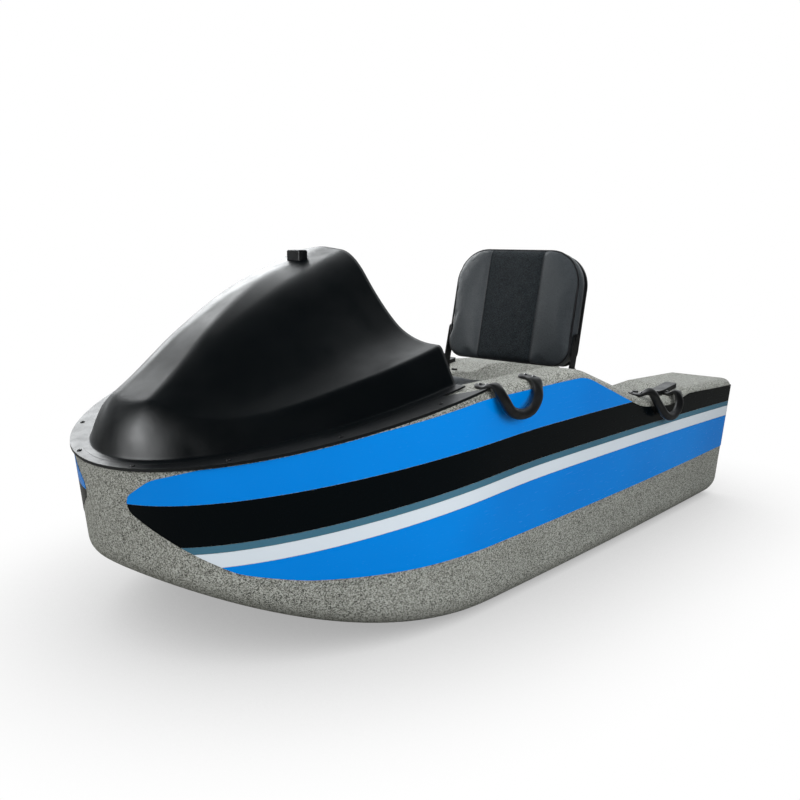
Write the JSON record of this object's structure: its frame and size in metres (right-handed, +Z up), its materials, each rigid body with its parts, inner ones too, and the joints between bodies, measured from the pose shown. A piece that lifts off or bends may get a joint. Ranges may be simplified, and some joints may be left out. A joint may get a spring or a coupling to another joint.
{
  "type": "water kart",
  "caption": "Small one-seat jet-driven water kart with a black bow cowl, folding seat, grab handles and colour films on its sides.",
  "frame": {"origin": "on the floor under the middle of the overall box", "axes": "+X to the bow, +Y to port, +Z up"},
  "size_m": [1.9997, 1.047, 0.802],
  "materials": {
    "hull_plastic": "speckled grey, satin",
    "film_blue": "gloss film",
    "film_black": "gloss film",
    "film_steel": "gloss film",
    "film_white": "gloss film",
    "cowl_plastic": "fine texture, satin",
    "black_plastic": "satin",
    "grip_rubber": "soft grip",
    "seat_cover": "grained marine vinyl",
    "steel": "brushed",
    "pump_metal": "cast, anodised"
  },
  "bodies": {
    "kart": {"hull": "hull_plastic", "stripe_blue_upper": "film_blue", "stripe_black": "film_black", "stripe_line": "film_steel", "stripe_white": "film_white", "stripe_blue_lower": "film_blue", "cowl": "cowl_plastic", "cowl_cap": "black_plastic", "dash_panel": "cowl_plastic", "dash_display": "black_plastic", "steering_column": "black_plastic", "throttle_pedal": "black_plastic", "foot_rests": "black_plastic", "seat_pan": "black_plastic", "seat_cushion": "seat_cover", "seat_hinges": "steel", "front_handles": "grip_rubber", "rear_handles": "grip_rubber", "rear_handle_brackets": "black_plastic", "deck_eyelets": "black_plastic", "hatch_frame": "black_plastic", "hatch_hinges": "steel", "pump_casing": "pump_metal", "ride_plate": "pump_metal", "intake_grille": "steel", "drain_plug": "black_plastic", "motor": "pump_metal"},
    "wheel": {"steering_wheel": "grip_rubber", "wheel_cap": "black_plastic", "steering_shaft": "steel"},
    "backrest": {"backrest_cushion": "seat_cover", "backrest_shell": "black_plastic", "backrest_arms": "steel"},
    "hatch": {"hatch_lid": "black_plastic", "hatch_latches": "black_plastic"},
    "nozzle": {"steering_nozzle": "pump_metal"},
    "rotor": {"impeller": "steel", "drive_shaft": "steel"}
  },
  "joints": [
    {"name": "steering_turn", "type": "hinge", "parent": "kart", "child": "wheel", "pos_m": [0.395, 0, 0.6], "axis": [-0.9063, 0, 0.4226], "range_deg": [-90, 90]},
    {"name": "nozzle_turn", "type": "hinge", "parent": "kart", "child": "nozzle", "pos_m": [-0.86, 0, 0.1], "axis": [0, 0, 1], "range_deg": [-22.5, 22.5]},
    {"name": "impeller_spin", "type": "hinge", "parent": "kart", "child": "rotor", "pos_m": [-0.705, 0, 0.1], "axis": [1, 0, 0], "continuous": true},
    {"name": "seat_fold", "type": "hinge", "parent": "kart", "child": "backrest", "pos_m": [-0.366, 0, 0.446], "axis": [0, 1, 0], "range_deg": [0, 100]},
    {"name": "hatch_swing", "type": "hinge", "parent": "kart", "child": "hatch", "pos_m": [-0.745, -0.12, 0.309], "axis": [1, 0, 0], "range_deg": [0, 100]}
  ],
  "couplings": [
    {"joint": "nozzle_turn", "follows": "steering_turn", "ratio": -0.25}
  ]
}
